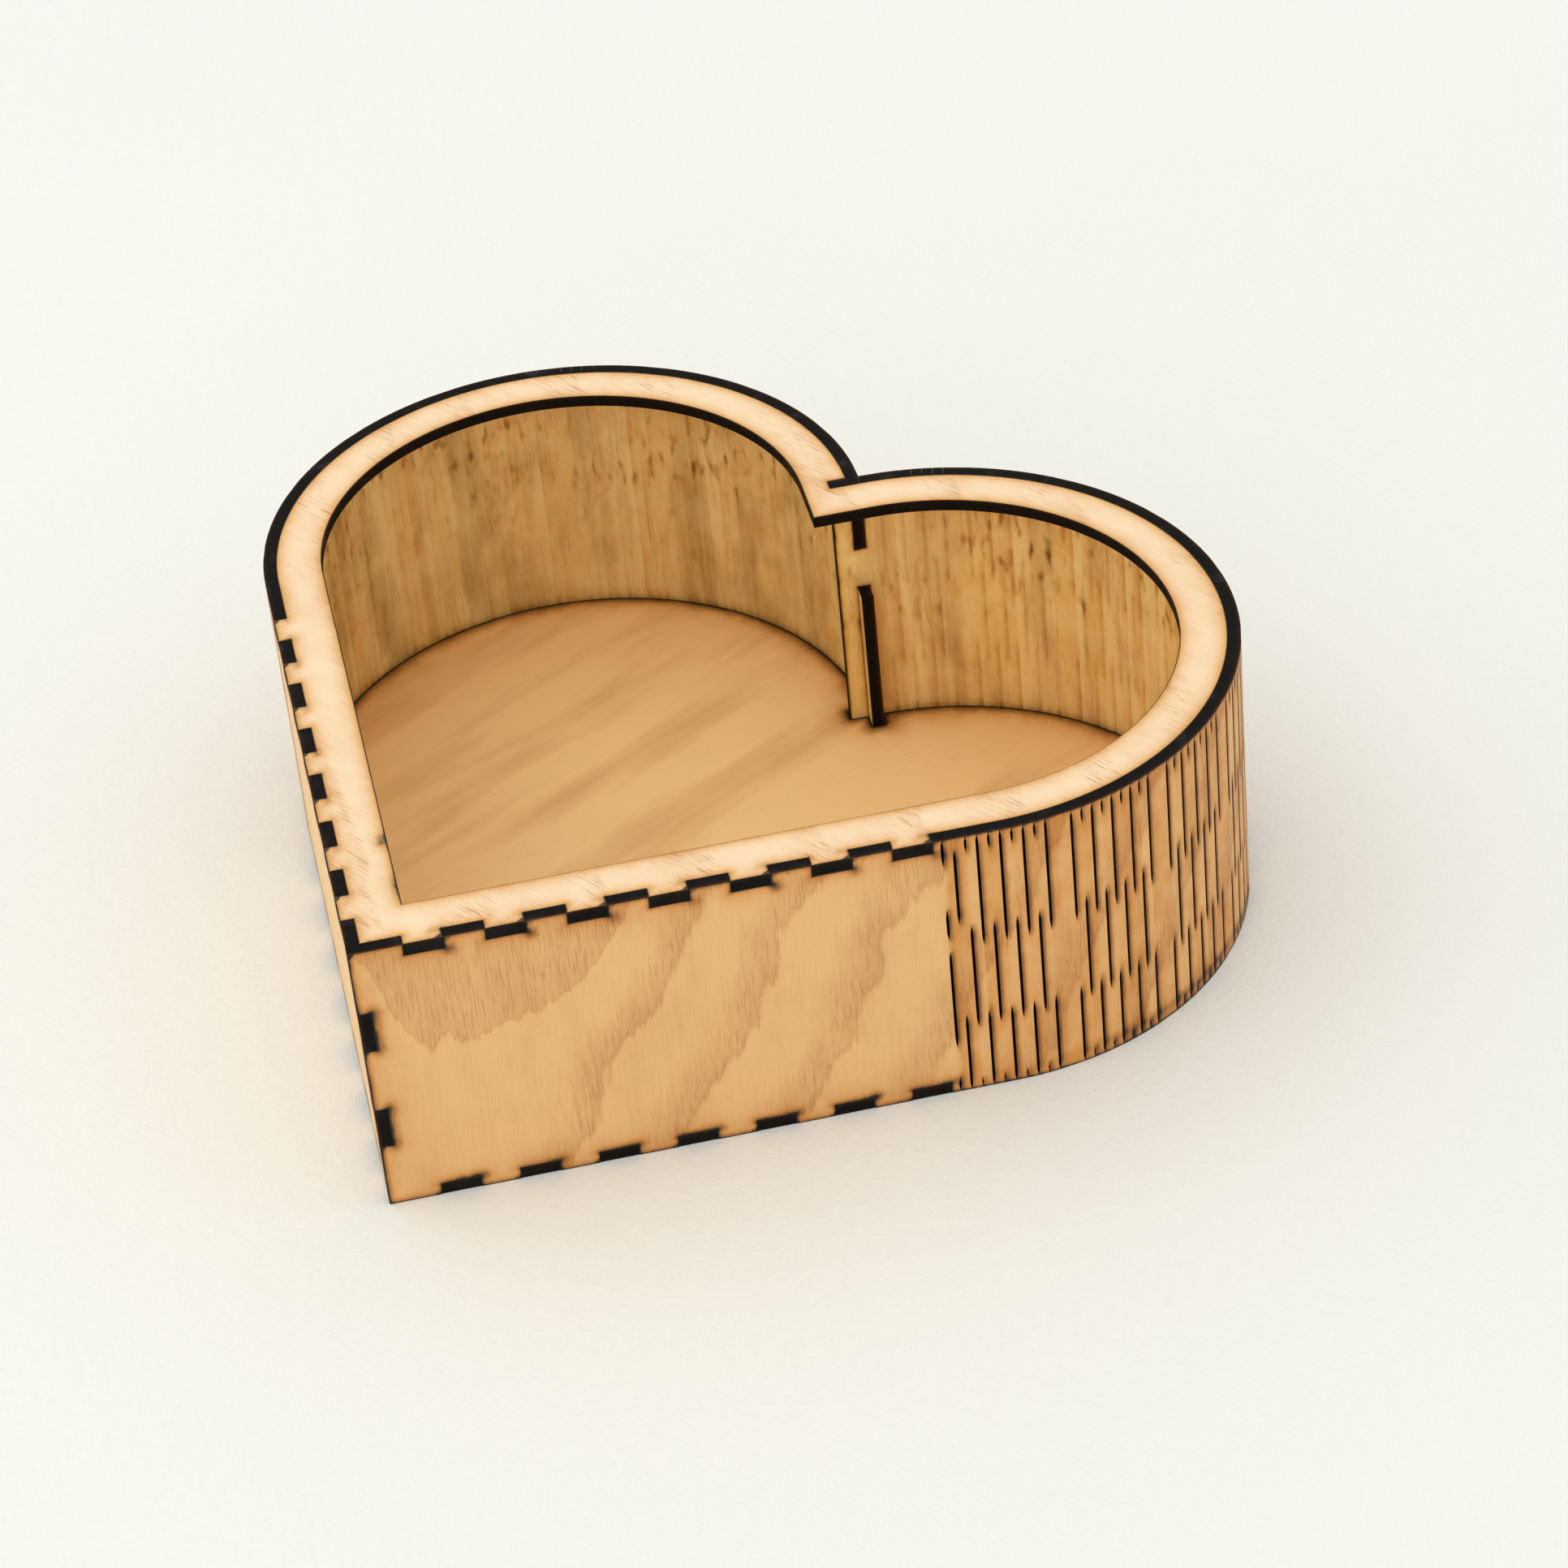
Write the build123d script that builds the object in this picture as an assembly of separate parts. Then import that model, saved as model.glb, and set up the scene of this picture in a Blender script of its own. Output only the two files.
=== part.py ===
"""Heart-shaped open box of laser-cut plywood: two living-hinge walls, a floor plate and a rim ring.

The parts are drawn in a plan frame whose origin is the tip of the heart. The right wall's outer face
runs along +x and the left wall's along +y, and the left wall is the right one mirrored in the diagonal
y = x. place() then turns the plan by 45 degrees, so the tip points along -Y and the cleft along +Y, and
centres the box on the origin with its underside at z = 0.
"""
from build123d import *
import math
import os

# Sheet and overall size, in millimetres
PLY = 3.0                          # plywood thickness
SIDE = 144.0                       # side of the square that the heart is drawn on
HEIGHT = 72.0                      # height of the box
RIM_WIDTH = 14.0                   # outer face of the wall to the inner edge of the rim
LOBE_RADIUS = SIDE / 2             # outer radius of each lobe

# Finger joints between the walls and the two plates
FINGER = 9.0                       # length of a tab, and of the gap after it
FIRST_TAB = PLY + FINGER           # tip corner to the first tab
TAB_COUNT = 7                      # tabs of each plate in each straight wall

# Box joint at the tip, where the left wall's tabs pass through the right wall
TIP_TAB = 10.5
TIP_TAB_COUNT = 2
TIP_GAP = (HEIGHT - TIP_TAB_COUNT * TIP_TAB) / (TIP_TAB_COUNT + 1)

# Crossing joint at the cleft
TAIL = 4.5                         # how far a wall's end stands past the other wall's inner face
TONGUE_TOP = 42.0                  # top of the left wall's long tongue
BRIDGE_TOP = 53.0                  # top of the bridge of the right wall above that tongue
TONGUE_ROUND = 4.0                 # rounded lead-in corner of the tongue

# Living hinge: columns of slits across the grain of each lobe
KERF = 0.45                        # width of a slit
LEAD_COLUMN = 131.0                # the odd column before the first group, along the outer face
FIRST_COLUMN = 133.6               # first column of the first group, along the outer face
COLUMN_PITCH = 2.6
GROUP_COLUMNS = 9
GROUP_PITCH = 27.0                 # first column of one group to the first column of the next
LAST_COLUMN = SIDE + math.pi * LOBE_RADIUS - PLY - 1.0

LEAD_SLITS = [(0.0, 4.3), (13.0, 40.5), (44.0, 52.5), (64.8, HEIGHT)]
FIRST_SLITS = [(0.0, 22.0), (48.0, 69.0)]
LONG_SLITS = [(0.0, 22.0), (41.0, HEIGHT)]
STAGGERED_SLITS = [(0.0, 3.0), (18.0, 47.0), (67.5, HEIGHT)]

OVERCUT = 1.0                      # how far a cutting box stands past what it cuts


def box_between(low, high):
    """A box given by its lowest and highest corners."""
    size = [b - a for a, b in zip(low, high)]
    return Pos(*low) * Box(*size, align=(Align.MIN, Align.MIN, Align.MIN))


def mirror_in_diagonal(shape):
    """The same shape with x and y exchanged, as the left half of the heart needs it."""
    return mirror(shape, about=Plane((0, 0, 0), z_dir=(1, -1, 0)))


def place(shape):
    """Turn the plan frame into the box's own frame: tip along -Y, origin under the middle."""
    length = (SIDE + LOBE_RADIUS) / math.sqrt(2) + LOBE_RADIUS
    return Pos(0, -length / 2, 0) * Rot(0, 0, 45) * shape


def heart_face(inset):
    """The heart outline, brought in from the walls' outer faces by inset."""
    radius = LOBE_RADIUS - inset
    far = SIDE - inset
    right_middle = (SIDE + radius, LOBE_RADIUS)
    left_middle = (LOBE_RADIUS, SIDE + radius)
    edges = [
        Line((inset, inset), (SIDE, inset)),
        ThreePointArc((SIDE, inset), right_middle, (SIDE, far)),
        Line((SIDE, far), (far, far)),
        Line((far, far), (far, SIDE)),
        ThreePointArc((far, SIDE), left_middle, (inset, SIDE)),
        Line((inset, SIDE), (inset, inset)),
    ]
    return make_face(Wire(edges))


def tab_starts():
    """Distances from the tip corner at which the plates' tabs start."""
    return [FIRST_TAB + 2 * FINGER * index for index in range(TAB_COUNT)]


def plate_tabs(bottom):
    """The tabs of one plate in both straight walls, for a plate that lies on z = bottom."""
    right = [box_between((start, 0, bottom), (start + FINGER, PLY, bottom + PLY)) for start in tab_starts()]
    return right + [mirror_in_diagonal(tab) for tab in right]


def tail_notch(bottom):
    """The notch in a plate for the right wall's end, which stands past the cleft."""
    return box_between((SIDE - PLY - TAIL, SIDE - PLY, bottom), (SIDE - PLY, SIDE, bottom + PLY))


def make_floor_plate():
    """The floor: it lies between the walls, with tabs through them and a notch for each wall's end."""
    plate = extrude(heart_face(PLY), PLY) + plate_tabs(0)
    return plate - tail_notch(0) - mirror_in_diagonal(tail_notch(0))


def make_rim_ring():
    """The flat ring on top, flush with the walls' top edges."""
    bottom = HEIGHT - PLY
    ring = Pos(0, 0, bottom) * extrude(heart_face(PLY) - heart_face(RIM_WIDTH), PLY)
    return ring + plate_tabs(bottom) - tail_notch(bottom)


def hinge_columns():
    """Every column of slits, as its distance along the outer face and its (bottom, top) pairs."""
    columns = [(LEAD_COLUMN, LEAD_SLITS)]
    group_start = FIRST_COLUMN
    while group_start < LAST_COLUMN:
        for index in range(GROUP_COLUMNS):
            distance = group_start + index * COLUMN_PITCH
            slits = STAGGERED_SLITS if index % 2 else LONG_SLITS
            if distance < LAST_COLUMN:
                columns.append((distance, slits))
        group_start += GROUP_PITCH
    columns[1] = (FIRST_COLUMN, FIRST_SLITS)
    return columns


def slit_cutters():
    """A thin box for each slit, square to the wall where the slit is."""
    cutters = []
    for distance, slits in hinge_columns():
        for bottom, top in slits:
            low_z = bottom - OVERCUT if bottom == 0 else bottom
            high_z = top + OVERCUT if top == HEIGHT else top
            cutter = box_between((-KERF / 2, -OVERCUT, low_z), (KERF / 2, PLY + OVERCUT, high_z))
            if distance <= SIDE:
                cutters.append(Pos(distance, 0, 0) * cutter)
            else:
                turn = math.degrees((distance - SIDE) / LOBE_RADIUS)
                around = Pos(SIDE, LOBE_RADIUS, 0) * Rot(0, 0, turn)
                cutters.append(around * Pos(0, -LOBE_RADIUS, 0) * cutter)
    return cutters


def wall_blank():
    """A right wall before its joints are cut: straight panel, half-round lobe and straight end."""
    inner_radius = LOBE_RADIUS - PLY
    end = SIDE - PLY - TAIL
    edges = [
        Line((0, 0), (SIDE, 0)),
        ThreePointArc((SIDE, 0), (SIDE + LOBE_RADIUS, LOBE_RADIUS), (SIDE, SIDE)),
        Line((SIDE, SIDE), (end, SIDE)),
        Line((end, SIDE), (end, SIDE - PLY)),
        Line((end, SIDE - PLY), (SIDE, SIDE - PLY)),
        ThreePointArc((SIDE, SIDE - PLY), (SIDE + inner_radius, LOBE_RADIUS), (SIDE, PLY)),
        Line((SIDE, PLY), (0, PLY)),
        Line((0, PLY), (0, 0)),
    ]
    wall = extrude(make_face(Wire(edges)), HEIGHT)
    return wall - slit_cutters()


def plate_gaps():
    """The gaps that the floor's and the rim's tabs fill in one straight wall."""
    gaps = []
    for start in tab_starts():
        gaps.append(box_between((start, -OVERCUT, -OVERCUT), (start + FINGER, PLY + OVERCUT, PLY)))
        top = HEIGHT + OVERCUT
        gaps.append(box_between((start, -OVERCUT, HEIGHT - PLY), (start + FINGER, PLY + OVERCUT, top)))
    return gaps


def tip_tab_levels():
    """Bottom and top of each tab at the tip corner."""
    bottoms = [TIP_GAP + index * (TIP_TAB + TIP_GAP) for index in range(TIP_TAB_COUNT)]
    return [(bottom, bottom + TIP_TAB) for bottom in bottoms]


def make_right_wall():
    """The right wall: slotted at the tip for the left wall's tabs, and at the cleft for its end."""
    cutters = plate_gaps()
    for bottom, top in tip_tab_levels():
        cutters.append(box_between((-OVERCUT, -OVERCUT, bottom), (PLY, PLY + OVERCUT, top)))
    slot_near = SIDE - PLY - OVERCUT
    slot_far = SIDE + OVERCUT
    cutters.append(box_between((SIDE - PLY, slot_near, -OVERCUT), (SIDE, slot_far, TONGUE_TOP)))
    cutters.append(box_between((SIDE - PLY, slot_near, BRIDGE_TOP), (SIDE, slot_far, HEIGHT + OVERCUT)))
    return wall_blank() - cutters


def make_left_wall():
    """The left wall: tabs at the tip, and at the cleft a long tongue below and a short finger above."""
    cutters = plate_gaps()
    tip_levels = tip_tab_levels()
    gap_bottoms = [-OVERCUT] + [top for bottom, top in tip_levels]
    gap_tops = [bottom for bottom, top in tip_levels] + [HEIGHT + OVERCUT]
    for bottom, top in zip(gap_bottoms, gap_tops):
        cutters.append(box_between((-OVERCUT, -OVERCUT, bottom), (PLY, PLY + OVERCUT, top)))
    end = SIDE - PLY - TAIL
    near = SIDE - PLY - OVERCUT
    far = SIDE + OVERCUT
    cutters.append(box_between((end - OVERCUT, near, TONGUE_TOP), (SIDE, far, BRIDGE_TOP)))
    cutters.append(box_between((end - OVERCUT, near, BRIDGE_TOP), (SIDE - PLY, far, HEIGHT + OVERCUT)))
    corner = box_between((end, near, TONGUE_TOP - TONGUE_ROUND), (end + TONGUE_ROUND, far, TONGUE_TOP))
    round_axis = Pos(end + TONGUE_ROUND, SIDE, TONGUE_TOP - TONGUE_ROUND) * Rot(90, 0, 0)
    cutters.append(corner - round_axis * Cylinder(TONGUE_ROUND, 4 * PLY))
    return mirror_in_diagonal(wall_blank() - cutters)


def main():
    """Build every piece and write one STEP file for each."""
    pieces = {
        "floor_plate": make_floor_plate(),
        "rim_ring": make_rim_ring(),
        "right_wall": make_right_wall(),
        "left_wall": make_left_wall(),
    }
    os.makedirs("parts", exist_ok=True)
    for name, shape in pieces.items():
        solid = place(shape)
        print(name, len(solid.solids()), "solid,", round(solid.volume), "mm3")
        export_step(solid, f"parts/{name}.step")


main()
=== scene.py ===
"""Looks for a heart-shaped open box of laser-cut plywood.

Two walls bent by living hinges, a floor plate and a rim ring are built here as sheets of ply with
open slits, finger joints and charred cut edges. Each stands for the CAD solid of the same name.

Plan frame, in millimetres: the tip of the heart is at (0, 0), the right wall's outer face runs along
+x and the left wall's along +y. The left half is the right half with x and y exchanged.
"""

import logging
import math
from dataclasses import dataclass, field
from enum import Enum
from typing import Callable, Sequence, Union

import bpy
import numpy as np
from mathutils import Matrix, Vector


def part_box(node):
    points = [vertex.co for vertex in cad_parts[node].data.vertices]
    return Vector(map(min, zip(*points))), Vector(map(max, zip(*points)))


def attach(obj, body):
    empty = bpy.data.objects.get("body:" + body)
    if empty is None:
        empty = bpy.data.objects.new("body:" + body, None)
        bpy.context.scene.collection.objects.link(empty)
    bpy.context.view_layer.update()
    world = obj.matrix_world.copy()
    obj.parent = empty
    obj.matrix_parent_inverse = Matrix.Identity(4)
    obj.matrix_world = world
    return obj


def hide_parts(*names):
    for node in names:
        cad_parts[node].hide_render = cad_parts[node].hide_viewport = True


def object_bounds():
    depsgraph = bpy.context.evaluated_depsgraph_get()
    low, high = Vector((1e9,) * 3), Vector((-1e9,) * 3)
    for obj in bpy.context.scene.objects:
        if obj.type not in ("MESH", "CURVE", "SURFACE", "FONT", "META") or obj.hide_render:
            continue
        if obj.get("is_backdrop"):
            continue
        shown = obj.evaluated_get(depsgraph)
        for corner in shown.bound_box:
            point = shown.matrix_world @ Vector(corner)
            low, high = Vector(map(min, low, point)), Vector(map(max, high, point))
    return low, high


logging.basicConfig(level=logging.INFO, format="%(name)s: %(message)s")
LOG = logging.getLogger("heart_box")

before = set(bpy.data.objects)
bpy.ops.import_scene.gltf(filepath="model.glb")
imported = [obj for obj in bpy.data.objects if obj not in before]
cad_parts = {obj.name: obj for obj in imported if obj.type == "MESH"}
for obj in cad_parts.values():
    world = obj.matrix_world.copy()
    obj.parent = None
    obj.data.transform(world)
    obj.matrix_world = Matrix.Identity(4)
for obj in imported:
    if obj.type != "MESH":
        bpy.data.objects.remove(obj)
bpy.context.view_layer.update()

MILLIMETRE = 0.001
Array = np.ndarray
Number = Union[float, "Value"]
Colour = tuple[float, float, float]

SLACK = 1e-6            # what rounding may add to a position
TINY = 1e-9             # the smallest length or share that counts
FAR_AWAY = 1e6
POINTS_AT_ONCE = 2000   # points compared with every segment in one step, to save memory
SOOT_LIMIT = 1.2


def srgb(red: float, green: float, blue: float) -> Colour:
    """A colour given as 0 to 255 display values, as linear light."""
    def linear(channel: float) -> float:
        """One channel through the display curve, undone."""
        part = channel / 255
        return part / 12.92 if part <= 0.04045 else ((part + 0.055) / 1.055) ** 2.4
    return (linear(red), linear(green), linear(blue))


# ---------------------------------------------------------------------------------------------------
# Sizes
# ---------------------------------------------------------------------------------------------------

@dataclass(frozen=True)
class Plan:
    """The heart's plan and joints, in millimetres, with its main sizes read from the CAD frame.

    Attributes:
        ply: Thickness of the sheet.
        height: Height of the box.
        radius: Outer radius of a lobe.
        rim_width: Outer face of the wall to the inner edge of the rim.
        finger: Length of a tab, and of the gap after it.
        tab_count: Tabs of each plate in each straight wall.
        tail: How far a wall's end stands past the other wall's inner face.
        tongue_top: Top of the left wall's long tongue at the cleft.
        bridge_top: Top of the right wall's bridge above that tongue.
        tongue_round: Radius of the tongue's upper corner.
        tip_tab: Height of a tab at the tip.
    """

    ply: float
    height: float
    radius: float
    rim_width: float = 14.0
    finger: float = 9.0
    tab_count: int = 7
    tail: float = 4.5
    tongue_top: float = 42.0
    bridge_top: float = 53.0
    tongue_round: float = 4.0
    tip_tab: float = 10.5

    @classmethod
    def from_frame(cls) -> "Plan":
        """Read the sheet's thickness, the height and the lobe radius from the CAD nodes.

        The box's length is (side + radius) / sqrt 2 + radius, and the side is twice the radius.

        Returns:
            The plan whose box is the CAD model's box.
        """
        floor_low, floor_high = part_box("floor_plate")
        wall_low, wall_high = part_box("right_wall")
        low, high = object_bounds()
        length = (high[1] - low[1]) / MILLIMETRE
        return cls(
            ply=round((floor_high.z - floor_low.z) / MILLIMETRE, 3),
            height=round((wall_high.z - wall_low.z) / MILLIMETRE, 3),
            radius=round(length / (3 / math.sqrt(2) + 1), 3),
        )

    @property
    def side(self) -> float:
        """Side of the square on which the heart is drawn."""
        return 2 * self.radius

    @property
    def arc_end(self) -> float:
        """Distance along the outer face at which the lobe's half circle ends."""
        return self.side + math.pi * self.radius

    @property
    def wall_end(self) -> float:
        """Distance along the outer face of the wall's end, past the cleft."""
        return self.arc_end + self.ply + self.tail

    @property
    def length(self) -> float:
        """Length of the heart from its tip to the top of its lobes."""
        return (self.side + self.radius) / math.sqrt(2) + self.radius

    def tab_starts(self) -> Array:
        """Distances from the tip at which the plates' tabs start, two fingers apart."""
        return self.ply + self.finger + 2 * self.finger * np.arange(self.tab_count)

    def tip_tabs(self) -> list[tuple[float, float]]:
        """Bottom and top of the two tabs at the tip, with three equal gaps."""
        gap = (self.height - 2 * self.tip_tab) / 3
        return [(gap, gap + self.tip_tab), (2 * gap + self.tip_tab, 2 * gap + 2 * self.tip_tab)]

    def to_row(self, plan_xy: Array, z: Array) -> Array:
        """Turn plan points by 45 degrees and centre them, in metres.

        Args:
            plan_xy: Points in the plan, in millimetres.
            z: Their heights, in millimetres.

        Returns:
            Points in the row frame: X is (x - y) / sqrt 2, Y is (x + y) / sqrt 2 less half the length.
        """
        x, y = plan_xy[..., 0], plan_xy[..., 1]
        across = (x - y) / math.sqrt(2)
        along = (x + y) / math.sqrt(2) - self.length / 2
        return np.stack([across, along, np.broadcast_to(z, across.shape)], axis=-1) * MILLIMETRE


class Side(Enum):
    """Which half of the heart a wall makes."""

    RIGHT = "right_wall"
    LEFT = "left_wall"


# ---------------------------------------------------------------------------------------------------
# Sheets
# ---------------------------------------------------------------------------------------------------

@dataclass
class Patch:
    """A grid of developed points of which some cells are cut away.

    Attributes:
        points: Developed points, (rows, columns, 2), in millimetres.
        keep: Cells that stay, (rows - 1, columns - 1).
    """

    points: Array
    keep: Array

    def quads(self) -> Array:
        """Corner numbers of the cells that stay, anticlockwise where columns run along x and rows along y."""
        rows, columns = self.points.shape[:2]
        number = np.arange(rows * columns).reshape(rows, columns)
        cells = np.stack([number[:-1, :-1], number[:-1, 1:], number[1:, 1:], number[1:, :-1]], axis=-1)
        return cells[self.keep]


def filled_lines(marks: Sequence[float], step: float) -> Array:
    """Grid lines through every mark, with even lines between marks that are more than a step apart.

    Args:
        marks: Positions that must be on a line.
        step: The widest gap allowed.

    Returns:
        Sorted positions.
    """
    marks = np.unique(np.round(np.asarray(marks, float), 5))
    pieces = [np.linspace(a, b, max(1, math.ceil((b - a) / step - SLACK)) + 1)[:-1]
              for a, b in zip(marks[:-1], marks[1:])]
    return np.append(np.concatenate(pieces), marks[-1])


def merge_close(marks: Sequence[float], gap: float) -> list[float]:
    """Put marks in order and drop those that are too close.

    Args:
        marks: Positions, in any order.
        gap: The least distance to the mark before.

    Returns:
        The marks that stay.
    """
    ordered = sorted(set(round(float(mark), 4) for mark in marks))
    kept = ordered[:1]
    for mark in ordered[1:]:
        if mark - kept[-1] >= gap:
            kept.append(mark)
    return kept


def distance_to_boxes(points: Array, boxes: Sequence[tuple[float, float, float, float]]) -> Array:
    """Distance to the nearest box: the hypotenuse of how far a point is past its sides.

    Args:
        points: Points, (..., 2).
        boxes: Boxes along the axes, as (x0, x1, y0, y1).

    Returns:
        A distance for each point, 0 inside a box.
    """
    nearest = np.full(points.shape[:-1], FAR_AWAY)
    for x0, x1, y0, y1 in boxes:
        away_x = np.maximum(np.maximum(x0 - points[..., 0], points[..., 0] - x1), 0)
        away_y = np.maximum(np.maximum(y0 - points[..., 1], points[..., 1] - y1), 0)
        nearest = np.minimum(nearest, np.hypot(away_x, away_y))
    return nearest


def distance_to_segments(points: Array, starts: Array, ends: Array) -> Array:
    """Distance to the nearest segment: to the point's foot on it, held between its ends.

    Args:
        points: Points, (count, 2).
        starts: Where the segments start.
        ends: Where they end.

    Returns:
        A distance for each point.
    """
    run = ends - starts
    squared = np.maximum((run ** 2).sum(-1), TINY)
    nearest = np.full(len(points), FAR_AWAY)
    for begin in range(0, len(points), POINTS_AT_ONCE):
        part = slice(begin, begin + POINTS_AT_ONCE)
        offset = points[part, None, :] - starts[None]
        share = np.clip((offset * run[None]).sum(-1) / squared, 0, 1)
        gap = np.linalg.norm(offset - share[..., None] * run[None], axis=-1)
        nearest[part] = gap.min(axis=1)
    return nearest


def spotted(total: Array, points: Array, spots: Sequence[tuple]) -> Array:
    """Add soft spots to a field, each strength * exp(-(dx / wide)^2 - (dy / tall)^2).

    Args:
        total: The field so far, one number for each point.
        points: Where the numbers stand, (count, 2).
        spots: Spots as (x, y, wide, tall, strength).

    Returns:
        The field with its spots, held between 0 and SOOT_LIMIT.
    """
    for x, y, wide, tall, strength in spots:
        away_x, away_y = (points[:, 0] - x) / wide, (points[:, 1] - y) / tall
        total = total + strength * np.exp(-away_x ** 2 - away_y ** 2)
    return np.clip(total, 0, SOOT_LIMIT)


@dataclass
class Sheet:
    """A sheet of ply made from welded patches, with a front, a back and charred edges between them.

    Attributes:
        name: Name of the Blender piece.
        thickness: Thickness of the ply, in millimetres.
        flat: Developed points of the front, (count, 2).
        quads: Corner numbers of its cells, (count, 4).
        fields: Numbers for the materials, one for each point.
        back: Developed points of the back, where they differ from the front's.
        round_edge: Width of the chamfer along the outline.
    """

    name: str
    thickness: float
    flat: Array
    quads: Array
    fields: dict[str, Array] = field(default_factory=dict)
    back: Union[Array, None] = None
    round_edge: float = 0.0

    @classmethod
    def from_patches(cls, name: str, thickness: float, patches: Sequence[Patch], **extra: float) -> "Sheet":
        """Weld patches by their rounded developed positions and drop what no cell uses.

        Args:
            name: The piece's name.
            thickness: Thickness of the ply.
            patches: The grids.
            **extra: Other fields of the sheet.

        Returns:
            The sheet, with one number for each distinct point.
        """
        points = np.concatenate([patch.points.reshape(-1, 2) for patch in patches])
        starts = np.cumsum([0] + [patch.points[..., 0].size for patch in patches])
        quads = np.concatenate([patch.quads() + start for patch, start in zip(patches, starts)])
        used, quads = np.unique(quads, return_inverse=True)
        points, welded = np.unique(np.round(points[used], 4), axis=0, return_inverse=True)
        quads = welded.reshape(-1)[quads.reshape(-1, 4)]
        return cls(name, thickness, points, quads, **extra)

    def rim_edges(self) -> Array:
        """Edges that belong to one cell only, as (from, to) in that cell's own direction."""
        edges = np.stack([self.quads, np.roll(self.quads, -1, axis=1)], axis=-1).reshape(-1, 2)
        edges = edges[edges[:, 0] != edges[:, 1]]
        key = np.sort(edges, axis=1)
        _, where, count = np.unique(key, axis=0, return_inverse=True, return_counts=True)
        return edges[count[where.reshape(-1)] == 1]

    def inset_points(self, edges: Array) -> Array:
        """Draw the outline in by round_edge, along the mean of its normals.

        Args:
            edges: The outline's edges, as (from, to).

        Returns:
            Every front point, with those of the outline moved.
        """
        run = self.flat[edges[:, 1]] - self.flat[edges[:, 0]]
        inward = np.stack([-run[:, 1], run[:, 0]], axis=-1)
        inward /= np.maximum(np.linalg.norm(inward, axis=1, keepdims=True), TINY)
        total = np.zeros_like(self.flat)
        np.add.at(total, edges[:, 0], inward)
        np.add.at(total, edges[:, 1], inward)
        size = np.linalg.norm(total, axis=1, keepdims=True)
        return self.flat + self.round_edge * total / np.maximum(size, TINY) * (size > SLACK)

    def build(self, place: Callable[[Array, Array], Array], materials: Sequence[bpy.types.Material],
              turned: bool = False) -> bpy.types.Object:
        """Give the sheet its thickness and put it into a Blender object.

        A ring of side faces joins front and back along every edge that belongs to one cell only. With a
        round edge, the front and back outlines are drawn in and two more rings carry the chamfer.

        Args:
            place: Maps developed points and depths to plan points with heights in the row frame.
            materials: Front, back and edge materials.
            turned: Whether the placing is a mirror image, so that faces must run the other way.

        Returns:
            The object, at the origin, with its fields as point attributes.
        """
        count = len(self.flat)
        edges = self.rim_edges()
        back = self.flat if self.back is None else self.back
        outline = np.unique(edges)
        levels = [(self.flat, 0.0), (back, self.thickness)]
        if self.round_edge:
            drawn_in = self.inset_points(edges)
            levels = [(drawn_in, 0.0), (self.flat[outline], self.round_edge),
                      (self.flat[outline], self.thickness - self.round_edge), (drawn_in, self.thickness)]
        numbers, chunks, depths, start = [], [], [], 0
        for points, depth in levels:
            number = np.full(count, -1)
            members = np.arange(count) if len(points) == count else outline
            number[members] = start + np.arange(len(members))
            numbers.append(number)
            chunks.append(points)
            depths.append(np.full(len(points), depth))
            start += len(points)
        faces = [numbers[0][self.quads], numbers[-1][self.quads[:, ::-1]]]
        kinds = [np.zeros(len(self.quads), int), np.ones(len(self.quads), int)]
        for upper, lower in zip(numbers[:-1], numbers[1:]):
            faces.append(np.stack([upper[edges[:, 1]], upper[edges[:, 0]],
                                   lower[edges[:, 0]], lower[edges[:, 1]]], axis=-1))
            kinds.append(np.full(len(edges), 2))
        flat, depth = np.concatenate(chunks), np.concatenate(depths)
        all_faces = np.concatenate(faces)
        if turned:
            all_faces = all_faces[:, ::-1]
        mesh = bpy.data.meshes.new(self.name)
        mesh.from_pydata(place(flat, depth), [], drop_repeats(all_faces))
        for material in materials:
            mesh.materials.append(material)
        mesh.polygons.foreach_set("material_index", np.concatenate(kinds).astype(np.int32))
        members = [np.arange(count) if len(chunk) == count else outline for chunk in chunks]
        source = np.concatenate(members)
        sheet = mesh.attributes.new("sheet", "FLOAT_VECTOR", "POINT")
        sheet.data.foreach_set("vector", np.column_stack([flat, depth]).astype(np.float32).ravel())
        for label, values in self.fields.items():
            attribute = mesh.attributes.new(label, "FLOAT", "POINT")
            attribute.data.foreach_set("value", values[source].astype(np.float32))
        mesh.update()
        mesh.validate()
        piece = bpy.data.objects.new(self.name, mesh)
        bpy.context.scene.collection.objects.link(piece)
        return piece


def drop_repeats(faces: Array) -> list[list[int]]:
    """Faces as lists, with a corner that a pole or a welded seam repeats written once."""
    repeated = (faces == np.roll(faces, -1, axis=1)).any(axis=1)
    out = faces.tolist()
    for index in np.nonzero(repeated)[0]:
        corners = out[index]
        out[index] = [c for i, c in enumerate(corners) if c != corners[i - 1]]
    return out


# ---------------------------------------------------------------------------------------------------
# Shader graphs
# ---------------------------------------------------------------------------------------------------

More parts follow.
